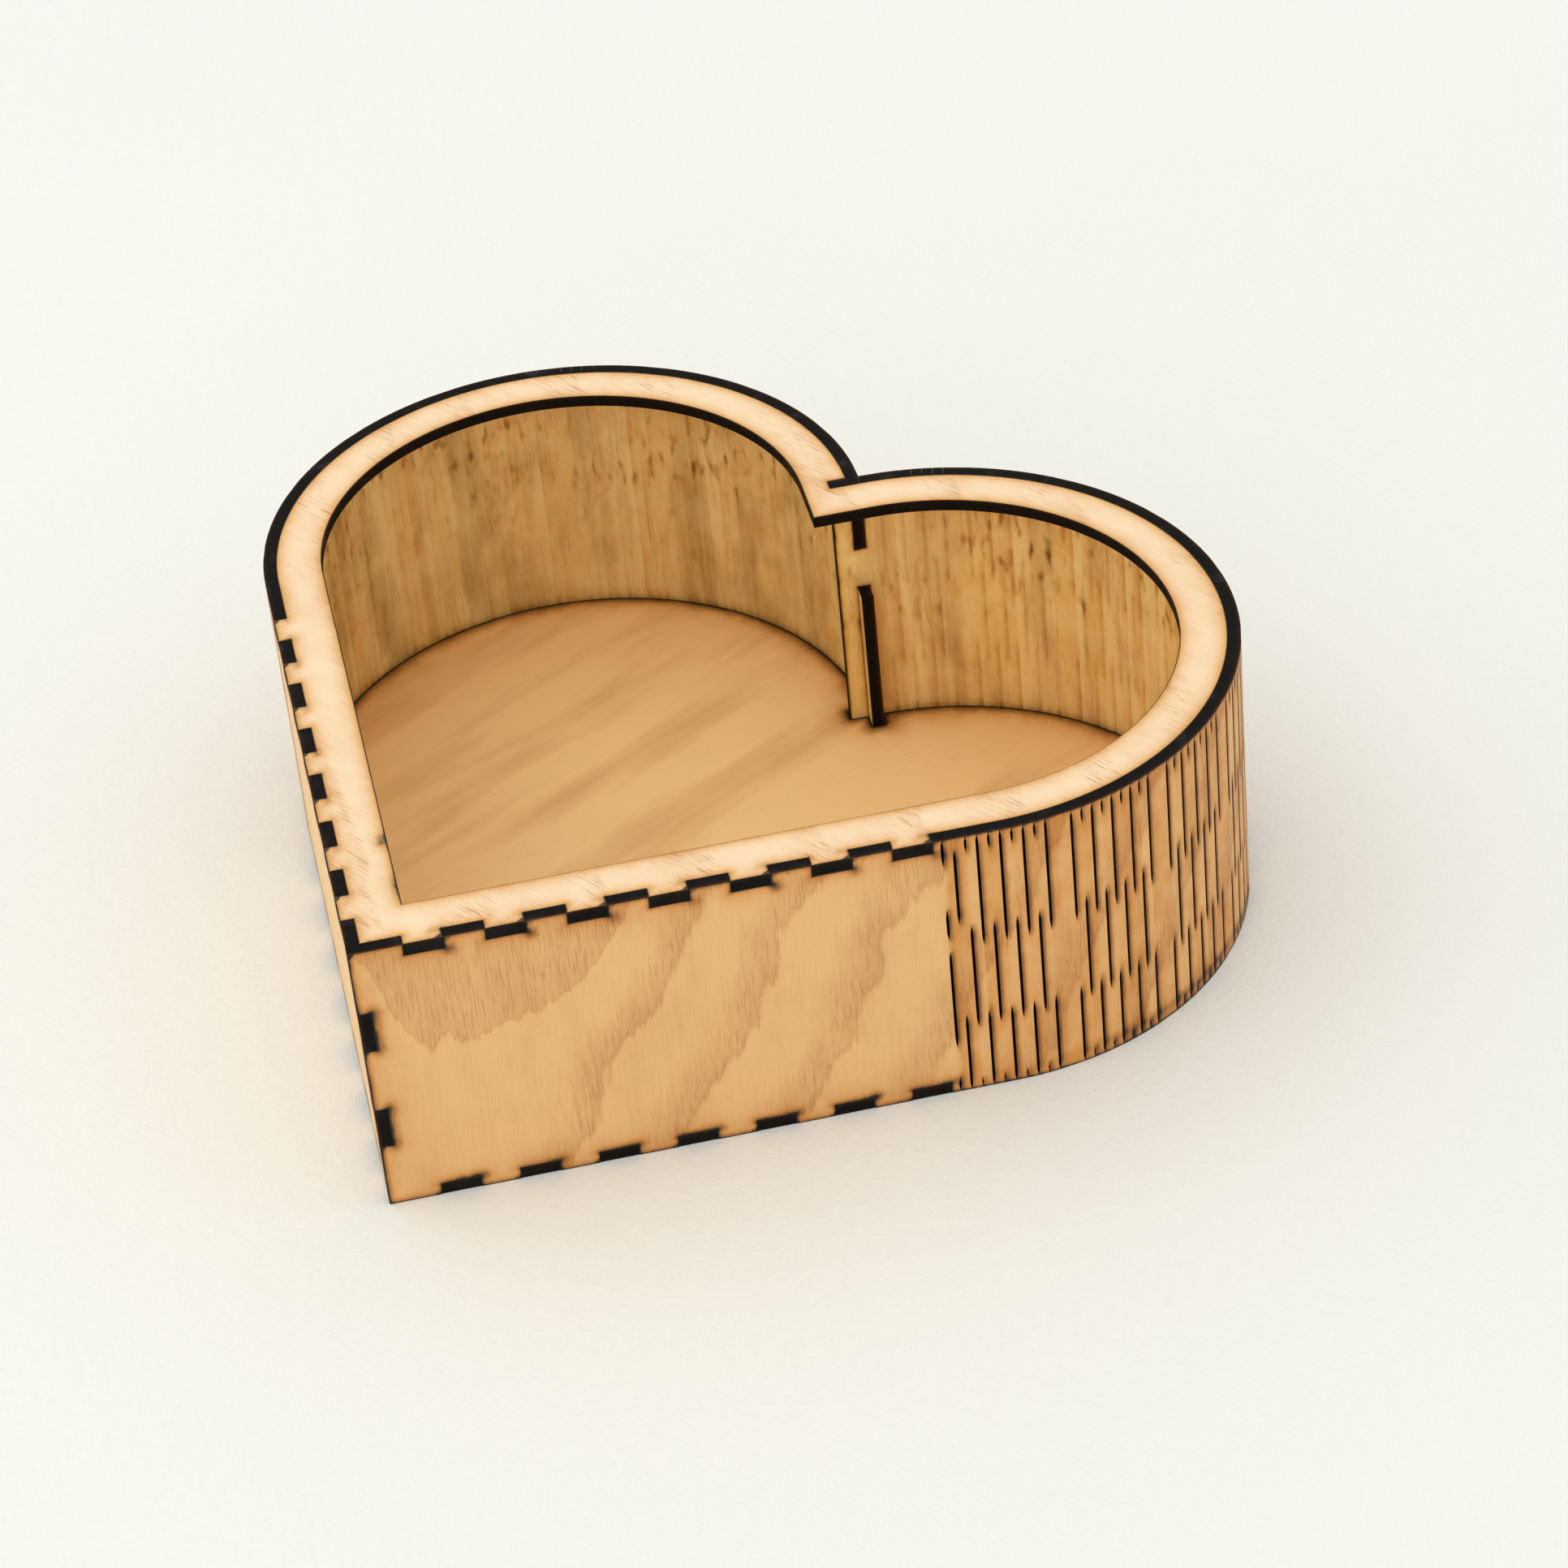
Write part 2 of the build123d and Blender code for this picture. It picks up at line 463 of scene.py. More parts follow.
class Value:
    """A node socket that takes part in arithmetic, each step as one Math node."""

    def __init__(self, graph: "Graph", socket: bpy.types.NodeSocket) -> None:
        """Keep the graph and the socket."""
        self.graph = graph
        self.socket = socket

    def math(self, operation: str, *others: Number) -> "Value":
        """One Math node with this value first."""
        return self.graph.node("ShaderNodeMath", {"operation": operation}, dict(enumerate((self, *others))))

    def __add__(self, other: Number) -> "Value":
        """Sum."""
        return self.math("ADD", other)

    def __radd__(self, other: Number) -> "Value":
        """Sum with a number first."""
        return self.math("ADD", other)

    def __sub__(self, other: Number) -> "Value":
        """Difference."""
        return self.math("SUBTRACT", other)

    def __rsub__(self, other: float) -> "Value":
        """A number less this value."""
        return self.graph.node("ShaderNodeMath", {"operation": "SUBTRACT"}, {0: other, 1: self})

    def __mul__(self, other: Number) -> "Value":
        """Product."""
        return self.math("MULTIPLY", other)

    def __rmul__(self, other: Number) -> "Value":
        """Product with a number first."""
        return self.math("MULTIPLY", other)

    def __truediv__(self, other: Number) -> "Value":
        """Quotient."""
        return self.math("DIVIDE", other)

    def fraction(self) -> "Value":
        """What is left after the whole part."""
        return self.math("FRACT")

    def fade(self, length: Number) -> "Value":
        """e to the power of minus this value over a length: 1 at 0, falling away."""
        scaled = self / length * -1.0
        return scaled.math("EXPONENT")

    def step(self, low: float, high: float) -> "Value":
        """Smooth step from 0 at low to 1 at high."""
        return self.graph.node(
            "ShaderNodeMapRange", {"interpolation_type": "SMOOTHSTEP"}, {0: self, 1: low, 2: high})

    def clamped(self) -> "Value":
        """Held between 0 and 1."""
        return self.graph.node("ShaderNodeClamp", {}, {0: self})


class Graph:
    """A material's node tree, built by expressions."""

    def __init__(self, name: str) -> None:
        """Start an empty material."""
        self.material = bpy.data.materials.new(name)
        self.material.use_nodes = True
        self.tree = self.material.node_tree
        self.tree.nodes.clear()

    def add(self, kind: str, settings: dict, inputs: dict) -> bpy.types.Node:
        """Add a node.

        Args:
            kind: Its type name.
            settings: Properties set before its sockets; "stops" fills a colour ramp.
            inputs: Values or links by socket number or name.

        Returns:
            The node.
        """
        node = self.tree.nodes.new(kind)
        for key, setting in settings.items():
            if key == "stops":
                self.fill_ramp(node.color_ramp, setting)
            else:
                setattr(node, key, setting)
        for key, value in inputs.items():
            socket = node.inputs[key]
            if isinstance(value, Value):
                self.tree.links.new(value.socket, socket)
            elif isinstance(value, tuple) and len(socket.default_value) == 4:
                socket.default_value = (*value, 1.0)
            else:
                socket.default_value = value
        return node

    def node(self, kind: str, settings: dict, inputs: dict, output: Union[int, str] = 0) -> Value:
        """Add a node and stand for one of its outputs, the first unless it is named."""
        return Value(self, self.add(kind, settings, inputs).outputs[output])

    @staticmethod
    def fill_ramp(ramp: bpy.types.ColorRamp, stops: Sequence[tuple[float, Colour]]) -> None:
        """Set a ramp's stops.

        Args:
            ramp: The ramp.
            stops: Its (position, colour) pairs, in order.
        """
        while len(ramp.elements) < len(stops):
            ramp.elements.new(1.0)
        for element, (position, colour) in zip(ramp.elements, stops):
            element.position = position
            element.color = (*colour, 1.0)

    def attribute(self, name: str, output: str = "Fac") -> Value:
        """A point attribute's number, or its vector where the output is "Vector"."""
        return self.node("ShaderNodeAttribute", {"attribute_name": name}, {}, output)

    def sheet(self) -> Value:
        """Developed position in millimetres: along the sheet, up the sheet, and depth from the front."""
        return self.attribute("sheet", "Vector")

    def split(self, vector: Value) -> tuple[Value, ...]:
        """The three parts of a vector."""
        parts = self.add("ShaderNodeSeparateXYZ", {}, {0: vector})
        return tuple(Value(self, part) for part in parts.outputs)

    def turned(self, vector: Value, degrees: float) -> Value:
        """A vector turned about its third axis."""
        return self.node("ShaderNodeVectorRotate", {"rotation_type": "Z_AXIS"},
                         {"Vector": vector, "Angle": math.radians(degrees)})

    def stretched(self, vector: Value, scale: Sequence[float], shift: float = 0.0) -> Value:
        """A vector times a scale for each axis, plus a shift."""
        return self.node("ShaderNodeVectorMath", {"operation": "MULTIPLY_ADD"},
                         {0: vector, 1: tuple(scale), 2: (shift, shift * 0.7, shift * 0.3)})

    def noise(self, vector: Value, scale: Sequence[float], detail: float = 2.0, roughness: float = 0.5,
              shift: float = 0.0) -> Value:
        """Smooth noise, about 0.5 on average.

        Args:
            vector: Where, in millimetres.
            scale: Repeats for each millimetre along each axis.
            detail: Number of finer layers.
            roughness: How strong they are.
            shift: Moves it to another place of the same noise.

        Returns:
            The noise's number.
        """
        return self.node("ShaderNodeTexNoise", {"noise_dimensions": "3D"},
                         {"Vector": self.stretched(vector, scale, shift), "Scale": 1.0, "Detail": detail,
                          "Roughness": roughness}, "Fac")

    def mix(self, share: Number, first: Union[Colour, Value], second: Union[Colour, Value],
            blend: str = "MIX") -> Value:
        """Mix two colours.

        Args:
            share: 0 for the first only, 1 for the second in full.
            first: The colour underneath.
            second: The colour that is laid over it.
            blend: How it is laid over, as a name of the Mix node's blend types.

        Returns:
            The mixed colour.
        """
        return self.node("ShaderNodeMix", {"data_type": "RGBA", "blend_type": blend, "clamp_factor": True},
                         {0: share, 6: first, 7: second}, 2)

    def bump(self, height: Value, distance: float, strength: float = 1.0) -> Value:
        """A normal from a height from 0 to 1 that stands for a distance in metres."""
        return self.node("ShaderNodeBump", {}, {"Height": height, "Distance": distance,
                                                "Strength": strength}, "Normal")

    def finish(self, colour: Value, roughness: Number, normal: Union[Value, None] = None,
               **constants: float) -> bpy.types.Material:
        """Join everything to a Principled shader and the output.

        Args:
            colour: Base colour.
            roughness: Roughness.
            normal: Bumped normal.
            **constants: Numbers set on the shader's own sockets, with _ for a space.

        Returns:
            The finished material.
        """
        inputs: dict = {"Base Color": colour, "Roughness": roughness}
        if normal is not None:
            inputs["Normal"] = normal
        inputs.update({key.replace("_", " "): value for key, value in constants.items()})
        shader = self.node("ShaderNodeBsdfPrincipled", {}, inputs)
        self.add("ShaderNodeOutputMaterial", {}, {"Surface": shader})
        return self.material


# ---------------------------------------------------------------------------------------------------
# Finishes
# ---------------------------------------------------------------------------------------------------

CHAR_BLACK = srgb(11, 8, 5)
TOASTED = srgb(232, 199, 146)

# The closed figure near the tip: its lower edge, as (millimetres from the tip, height)
CLOSED_FIGURE = ((0.0, 72.0), (4.2, 66.9), (8.1, 54.4), (10.7, 48.0), (14.9, 41.0), (18.9, 45.9),
                 (22.4, 41.4), (31.9, 45.6), (40.0, 46.6), (49.9, 54.3), (57.8, 65.4), (62.0, 72.0))
FIGURE_WIDTH = 62.0
FIGURE_HEIGHT = 72.0

# Noise repeats for each millimetre along the sheet, up the sheet and through it
SWAY = (0.020, 0.028, 0.02)
TEETH = (0.42, 0.045, 0.1)
PORES = (2.4, 0.13, 0.6)
HAIRS = (1.5, 0.035, 0.3)
CLOUDS = (0.065, 0.045, 0.03)
BURN_PATCHES = (0.16, 0.13, 0.1)
SMOKE_PATCHES = (0.55, 0.30, 0.3)
SCORCH_SPOTS = (0.40, 0.15, 0.2)
SCORCH_PATCHES = (0.04, 0.06, 0.1)
EDGE_STREAKS = (2.2, 2.2, 0.15)
EDGE_PATCHES = (0.12, 0.12, 0.2)


@dataclass(frozen=True)
class Veneer:
    """The face of a sheet: rotary-cut veneer, burnt beside the cuts, with painted shade on the hinge's
    strips, under the rim and in the corner where floor and walls meet.

    Attributes:
        name: Material name.
        pale: Colour of the plain wood.
        deep: Colour of the darker figure.
        grain_turn: Degrees by which the grain is turned from the sheet's second axis.
        band_pitch: Distance between figure bands, in millimetres.
        band_slant: How far a band leans sideways for each millimetre along the grain.
        band_start: Sideways position at which a band ends.
        band_strength: How dark the bands are.
        fleck: Strength of the fine pores.
        pore: Colour of the pores.
        pore_start: Noise level above which a pore starts: higher means fewer pores.
        hair: Strength of the fine lines along the grain.
        streak: Strength of the soft streaks along the grain.
        streak_rate: Streaks for each millimetre across the grain.
        blotch: Strength of soft smoky patches.
        halo_and_corner_shade: Length in which the burnt tone beside a joint falls away, in millimetres; where
            it is wide, as on the floor, it is partly painted shade in the corner against the walls.
        joint_burn: Strength of that tone.
        toast: Strength of the warm brown that reaches further in than the burnt tone.
        toast_reach: Length in which it falls away.
        soot: Strength of the settled soot, and of the painted shade in a band round the lobe at the floor's
            top.
        beside_slit: Strength of the burnt tone beside a slit.
        strip_shade_strength: Strength of the painted shade that differs between the hinge's strips.
        tooth: Strength of the teeth along the bands.
        scorch_and_rim_shade: Strength of the dark spots scattered over the hinge: partly burn marks, partly
            painted shade under the rim.
        seed: Moves the noise.
        cathedral: Whether the closed figure near the tip is drawn.
    """

    name: str
    pale: Colour
    deep: Colour
    grain_turn: float = 0.0
    band_pitch: float = 27.0
    band_slant: float = 0.55
    band_start: float = 14.5
    band_strength: float = 0.6
    fleck: float = 0.5
    pore: Colour = srgb(178, 116, 62)
    pore_start: float = 0.47
    hair: float = 0.5
    streak: float = 0.3
    streak_rate: float = 0.10
    blotch: float = 0.2
    halo_and_corner_shade: float = 0.42
    joint_burn: float = 0.8
    toast: float = 0.5
    toast_reach: float = 2.2
    soot: float = 1.0
    beside_slit: float = 1.0
    strip_shade_strength: float = 1.0
    tooth: float = 1.0
    scorch_and_rim_shade: float = 0.0
    seed: float = 0.0
    cathedral: bool = False

    def figure(self, graph: Graph, grain: Value) -> tuple[Value, Value]:
        """Bands that darken slowly and end sharply, with toothed edges, and the closed figure.

        Args:
            graph: The material's graph.
            grain: Position in the sheet, turned to the grain.

        Returns:
            Darkness of the figure, and of the thin line at which each band ends.
        """
        along, up, _ = graph.split(grain)
        sway = graph.noise(grain, SWAY, 2.0, shift=self.seed) - 0.5
        teeth = graph.noise(grain, TEETH, 4.0, 0.68, shift=self.seed + 3.1) - 0.5
        place = along - up * self.band_slant + sway * 24.0 + teeth * (9.0 * self.tooth)
        phase = ((place - self.band_start) / self.band_pitch).fraction()
        bands = phase.step(0.40, 0.90) * (1.0 - phase.step(0.93, 1.0))
        line = phase.step(0.86, 0.925) * (1.0 - phase.step(0.925, 0.955))
        if self.cathedral:
            edge = self.closed_edge(graph, along + sway * 6.0)
            above = up - edge + teeth * 9.0
            inside = above.step(-0.6, 0.8) * (1.0 - above.step(4.0, 34.0) * 0.55)
            plain = 1.0 - (place - 2.0).step(12.0, 20.0)
            bands = bands * (1.0 - plain) + inside
            line = line * (1.0 - plain) + above.step(-0.8, 0.2) * (1.0 - above.step(0.2, 1.6))
        return bands, line

    @staticmethod
    def closed_edge(graph: Graph, along: Value) -> Value:
        """Read the closed figure's lower edge from a ramp.

        Args:
            graph: The material's graph.
            along: Distance from the tip, in millimetres.

        Returns:
            Height of the edge, in millimetres.
        """
        stops = [(s / FIGURE_WIDTH, (z / FIGURE_HEIGHT,) * 3) for s, z in CLOSED_FIGURE]
        ramp = graph.node("ShaderNodeValToRGB", {"stops": stops}, {0: (along / FIGURE_WIDTH).clamped()})
        first, _, _ = graph.split(ramp)
        return first * FIGURE_HEIGHT

    def material(self) -> bpy.types.Material:
        """Build the face material."""
        graph = Graph(self.name)
        sheet = graph.sheet()
        grain = graph.turned(sheet, self.grain_turn) if self.grain_turn else sheet
        bands, line = self.figure(graph, grain)
        fine = graph.noise(grain, PORES, 3.0, 0.65, shift=self.seed + 7.0)
        pores = fine.step(self.pore_start, self.pore_start + 0.19)
        hairs = graph.noise(grain, HAIRS, 3.0, 0.62, shift=self.seed + 13.0) - 0.5
        wide = graph.noise(grain, (self.streak_rate, 0.008, 0.05), 3.0, 0.6, shift=self.seed + 11.0)
        cloud = graph.noise(sheet, CLOUDS, 4.0, 0.62, shift=self.seed + 17.0)
        share = bands * self.band_strength + (wide - 0.5) * (2.0 * self.streak) + (cloud - 0.45) * self.blotch
        share = share + line * (self.band_strength * 0.5) + hairs * self.hair
        colour = graph.mix(share.clamped(), self.pale, self.deep)
        darker = pores * (0.15 + bands * 0.85) * self.fleck
        colour = graph.mix(darker.clamped(), colour, self.pore)
        colour = self.burnt(graph, sheet, colour)
        rough = 0.50 + (fine - 0.5) * 0.25 + pores * 0.1
        height = fine * 0.5 + wide * 0.5
        return graph.finish(colour, rough, graph.bump(height, 0.00012, 0.6), Specular_IOR_Level=0.35)

    def burnt(self, graph: Graph, sheet: Value, colour: Value) -> Value:
        """Add the burnt tones: beside joints, beside slits, and where soot settled; and the painted shade of
        the strips, under the rim and in the corner where floor and walls meet.

        Args:
            graph: The material's graph.
            sheet: Position in the sheet.
            colour: Colour of the clean wood.

        Returns:
            The burnt colour: browned first, then blackened.
        """
        patch = graph.noise(sheet, BURN_PATCHES, 3.0, 0.6, shift=self.seed + 23.0)
        smoke = graph.noise(sheet, SMOKE_PATCHES, 3.0, 0.65, shift=self.seed + 29.0)
        cut = graph.attribute("cut")
        # On the floor, whose reach here is wide, this darkening beside the cut is partly painted shade in the
        # corner against the walls.
        joint = cut.fade(self.halo_and_corner_shade * (0.30 + patch * 1.4))
        toast = cut.fade(self.toast_reach * (0.4 + patch * 1.2)) * self.toast
        beside = graph.attribute("smoke") * (0.55 + patch * 0.8) * self.beside_slit
        settled = graph.attribute("soot") * (0.40 + smoke * 1.2) * self.soot
        # Painted shade: a darkening that differs from strip to strip, standing in for the light on the
        # hinge's twisted strips.
        tone = graph.attribute("tone") * (patch * 0.9) * self.strip_shade_strength
        burn = (joint * self.joint_burn + beside + settled + self.dark_spots_and_rim_shade(graph, sheet)).clamped()
        colour = graph.mix((burn * 1.3 + tone + toast).clamped(), colour,
                           graph.mix(1.0, colour, TOASTED, "MULTIPLY"))
        return graph.mix(burn.step(0.10, 0.95), colour, CHAR_BLACK)

    def dark_spots_and_rim_shade(self, graph: Graph, sheet: Value) -> Number:
        """Soft dark spots scattered over the hinge's upper part: partly burn marks, partly painted shade
        under the rim, growing towards the top.

        Args:
            graph: The material's graph.
            sheet: Position in the sheet.

        Returns:
            Their strength, 0 where the finish has none.
        """
        if not self.scorch_and_rim_shade:
            return 0.0
        along, up, _ = graph.split(sheet)
        spots = graph.noise(sheet, SCORCH_SPOTS, 1.0, 0.5, shift=self.seed + 37.0).step(0.44, 0.82)
        patches = graph.noise(sheet, SCORCH_PATCHES, 1.0, 0.5, shift=self.seed + 43.0).step(0.34, 0.60)
        # Painted shade under the rim: the spots grow from 8 to 60 millimetres up the sheet.
        return spots * patches * up.step(8.0, 60.0) * along.step(132.0, 146.0) * self.scorch_and_rim_shade


@dataclass(frozen=True)
class CharredEdge:
    """The laser-cut edge of a sheet: black, streaked through its thickness, glossy where glue ran.

    Attributes:
        name: Material name.
        brown: Strength of the brown that shows near the front face.
        glue: Share of the edge that has a film of glue.
    """

    name: str
    brown: float = 0.25
    glue: float = 0.5

    def material(self) -> bpy.types.Material:
        """Build the edge material."""
        graph = Graph(self.name)
        sheet = graph.sheet()
        _, _, depth = graph.split(sheet)
        streak = graph.noise(sheet, EDGE_STREAKS, 3.0, 0.6)
        patch = graph.noise(sheet, EDGE_PATCHES, 2.0, 0.5, shift=5.0)
        near = depth.fade(0.30) * (0.35 + streak)
        share = (near * self.brown + (streak - 0.5) * 0.10).clamped()
        colour = graph.mix(share, CHAR_BLACK, srgb(150, 92, 46))
        film = patch.step(0.66 - 0.2 * self.glue, 0.75)
        rough = 0.78 + (streak - 0.5) * 0.3 - film * 0.42
        normal = graph.bump(streak, 0.00015, 0.7)
        return graph.finish(colour, rough.clamped(), normal, Specular_IOR_Level=0.12)


@dataclass(frozen=True)
class PaleFelt:
    """The off-white cloth that the box stands on."""

    name: str = "pale_felt"

    def material(self) -> bpy.types.Material:
        """Build the floor material."""
        graph = Graph(self.name)
        where = graph.node("ShaderNodeTexCoord", {}, {}, "Object")
        fibre = graph.noise(where, (420.0, 420.0, 60.0), 5.0, 0.7)
        cloud = graph.noise(where, (5.0, 5.0, 5.0), 3.0, 0.5, shift=9.0)
        shade = ((fibre - 0.5) * 0.6 + (cloud - 0.5) * 0.3 + 0.4).clamped()
        colour = graph.mix(shade, srgb(248, 249, 244), srgb(238, 239, 234))
        return graph.finish(colour, 0.9, graph.bump(fibre, 0.0006, 0.5), Specular_IOR_Level=0.2)


# ---------------------------------------------------------------------------------------------------
# Walls
# ---------------------------------------------------------------------------------------------------

@dataclass
class HingeLayout:
    """Columns of slits across the lobe, in millimetres along the outer face.

    Attributes:
        plan: The heart's plan.
        front_width: Width of a slit on the outer face, which bending opens.
        back_width: Width on the inner face, which bending closes.
        tip_taper: Length over which a slit narrows to its end.
        open_taper: The same where the slit runs out of the sheet.
        lead_column: Place of the odd column before the first group.
        first_column: Place of the first group's first column.
        column_pitch: One column to the next.
        group_columns: Columns in a group.
        group_pitch: First column of one group to the first column of the next.
        lead_slits: Bottom and top of each slit in the odd column.
        first_slits: The same in the first group's first column.
        long_slits: The same in every even column.
        staggered_slits: The same in every odd column.
    """

    plan: Plan
    front_width: float = 0.66
    back_width: float = 0.01
    tip_taper: float = 2.2
    open_taper: float = 1.8
    lead_column: float = 131.0
    first_column: float = 133.6
    column_pitch: float = 2.6
    group_columns: int = 9
    group_pitch: float = 27.0
    lead_slits: tuple = ((0.0, 4.3), (13.0, 40.5), (44.0, 52.5), (64.8, 72.0))
    first_slits: tuple = ((0.0, 22.0), (48.0, 69.0))
    long_slits: tuple = ((0.0, 22.0), (41.0, 72.0))
    staggered_slits: tuple = ((0.0, 3.0), (18.0, 47.0), (67.5, 72.0))

    def columns(self) -> list[tuple[float, tuple]]:
        """Every column's position and its slits."""
        last = self.plan.arc_end - self.plan.ply - 1.0
        out = [(self.lead_column, self.lead_slits)]
        start = self.first_column
        while start < last:
            for index in range(self.group_columns):
                where = start + index * self.column_pitch
                if where < last:
                    out.append((where, self.staggered_slits if index % 2 else self.long_slits))
            start += self.group_pitch
        out[1] = (self.first_column, self.first_slits)
        return out

    def row_marks(self) -> list[float]:
        """Heights that need a grid line: every slit's ends, and lines for the taper of the long ones."""
        ends = {z for _, slits in self.columns() for pair in slits for z in pair}
        tapers = []
        for low, high in (*self.long_slits, *self.staggered_slits):
            if low > 0:
                tapers += [low + 0.5, low + 1.3]
            if high < self.plan.height:
                tapers += [high - 0.5, high - 1.3]
        return sorted(ends | set(tapers))

    def narrowing(self, z: Array, low: float, high: float) -> Array:
        """Share of a slit's width: a smooth step up from each end, x * x * (3 - 2 x).

        Args:
            z: Heights.
            low: The slit's bottom.
            high: Its top.

        Returns:
            Shares from a sixth at a closed end, or nearly nothing at an open one, up to 1.
        """
        nearer_low = (z - low) < (high - z)
        open_end = np.where(nearer_low, low <= 0, high >= self.plan.height)
        taper = np.where(open_end, self.open_taper, self.tip_taper)
        inside = np.clip(np.minimum(z - low, high - z) / taper, 0, 1)
        least = np.where(open_end, 0.04, 0.16)
        return least + (1 - least) * inside * inside * (3 - 2 * inside)


@dataclass
class Wall:
    """One wall of the heart: straight panel, living-hinge lobe and straight end at the cleft.

    Attributes:
        plan: The heart's plan.
        side: Which wall it is.
        finishes: Outer, inner and edge materials.
        seed: Starts the random soot and the painted shades of the strips.
        smoke_reach: Length in which the smoke on a slit's far side falls away.
        near_reach: The same on its near side.
        near_share: Strength of the near side's smoke, where the far side's is 1.
    """

    plan: Plan
    side: Side
    finishes: Sequence[bpy.types.Material]
    seed: int = 1
    smoke_reach: float = 0.95
    near_reach: float = 0.22
    near_share: float = 0.25

    def joint_boxes(self) -> list[tuple[float, float, float, float]]:
        """What the joints cut out of the developed sheet, as (s0, s1, z0, z1)."""
        plan = self.plan
        over = 1.0
        boxes = []
        for start in plan.tab_starts():
            boxes.append((start, start + plan.finger, -over, plan.ply))
            boxes.append((start, start + plan.finger, plan.height - plan.ply, plan.height + over))
        tip = plan.tip_tabs()
        cleft = (plan.arc_end, plan.arc_end + plan.ply)
        end = plan.wall_end + over
        if self.side is Side.RIGHT:
            boxes += [(-over, plan.ply, low, high) for low, high in tip]
            boxes.append((*cleft, -over, plan.tongue_top))
            boxes.append((*cleft, plan.bridge_top, plan.height + over))
        else:
            edges = [-over, *[z for pair in tip for z in pair], plan.height + over]
            boxes += [(-over, plan.ply, low, high) for low, high in zip(edges[::2], edges[1::2])]
            boxes.append((plan.arc_end, end, plan.tongue_top, plan.bridge_top))
            boxes.append((plan.arc_end + plan.ply, end, plan.bridge_top, plan.height + over))
        return boxes

    def grid_lines(self, hinge: HingeLayout) -> tuple[Array, Array]:
        """Grid lines that are close together beside every cut.

        Args:
            hinge: The columns of slits.

        Returns:
            Lines along the sheet and lines up the sheet.
        """
        plan = self.plan
        half = hinge.front_width / 2
        insets = [plan.ply + beside for beside in (0.6, 1.5, 3.0)]
        along = [0.0, plan.ply, *insets, plan.side, plan.wall_end, plan.wall_end - plan.tongue_round,
                 *[plan.arc_end + beside for beside in (-2.0, -0.8, 0.0, plan.ply, 5.5, 6.6)]]
        for start in plan.tab_starts():
            for edge in (start, start + plan.finger):
                along += [edge + beside for beside in (-1.6, -0.6, 0.0, 0.6, 1.6, 3.0)]
        for where, _ in hinge.columns():
            along += [where - half - 0.3, where - half]
            along += [where + half + beside for beside in (0.0, 0.25, 0.55, 0.95)]
        along = [s for s in along if 0 <= s <= plan.wall_end]
        tips = [z for pair in plan.tip_tabs() for z in pair]
        up = [z + beside for z in tips for beside in (-1.0, 0.0, 1.0)]
        for inset in (0.0, plan.ply, *insets):
            up += [inset, plan.height - inset]
        up += [plan.tongue_top - 3.0, plan.tongue_top, plan.bridge_top, *hinge.row_marks()]
        return filled_lines(merge_close(along, 0.12), 2.4), filled_lines(merge_close(up, 0.18), 2.4)

    def build(self) -> bpy.types.Object:
        """Cut the developed sheet and bend it into place."""
        plan = self.plan
        hinge = HingeLayout(plan)
        along, up = self.grid_lines(hinge)
        flat = np.stack(np.meshgrid(along, up), axis=-1)
        boxes = self.joint_boxes()
        keep = distance_to_boxes((flat[:-1, :-1] + flat[1:, 1:]) / 2, boxes) > 0
        front = self.slit_open(flat, keep, hinge, hinge.front_width)
        back = self.slit_open(flat, keep, hinge, hinge.back_width)
        if self.side is Side.LEFT:
            front, back = self.rounded_tongue(front), self.rounded_tongue(back)
        sheet = self.welded(front, back, keep)
        points = sheet.flat
        ends = np.minimum(np.minimum(points[:, 0], plan.wall_end - points[:, 0]),
                          np.minimum(points[:, 1], plan.height - points[:, 1]))
        sheet.fields = {
            "cut": np.minimum(distance_to_boxes(points, boxes), ends),
            "smoke": self.smoke(points, hinge),
            "soot": self.soot(points, hinge),
            "tone": self.painted_strip_shades(points, hinge),
        }
        piece = sheet.build(self.placer(hinge), self.finishes, turned=self.side is Side.LEFT)
        LOG.info("%s: %d faces", piece.name, len(piece.data.polygons))
        return piece

    @staticmethod
    def slit_open(flat: Array, keep: Array, hinge: HingeLayout, width: float) -> Array:
        """Cut away the cells of every slit, and draw its two sides to their distance.

        Args:
            flat: The grid of developed points.
            keep: Cells that stay, changed in place.
            hinge: The columns of slits.
            width: Full width of a slit on this face.

        Returns:
            The grid with each slit's sides at half the width times its narrowing.
        """
        along, up = flat[0, :, 0], flat[:, 0, 1]
        opened = flat.copy()
        for where, slits in hinge.columns():
            edges = (where - hinge.front_width / 2, where + hinge.front_width / 2)
            left, right = [int(np.argmin(np.abs(along - edge))) for edge in edges]
            for low, high in slits:
                rows = (up >= low - SLACK) & (up <= high + SLACK)
                keep[rows[:-1] & rows[1:], left:right] = False
                half = hinge.narrowing(up[rows], low, high) * (width / 2)
                opened[rows, left, 0] = where - half
                opened[rows, right, 0] = where + half
        return opened

    def welded(self, front: Array, back: Array, keep: Array) -> Sheet:
        """Make a sheet from one grid whose front and back points differ.

        Args:
            front: Developed points of the front.
            back: Developed points of the back.
            keep: Cells that stay.

        Returns:
            The sheet, with the points that its cells use.
        """
        quads = Patch(front, keep).quads()
        used, quads = np.unique(quads, return_inverse=True)
        name = f"{self.side.value}_veneer"
        return Sheet(name, self.plan.ply, front.reshape(-1, 2)[used], quads.reshape(-1, 4),
                     back=back.reshape(-1, 2)[used])

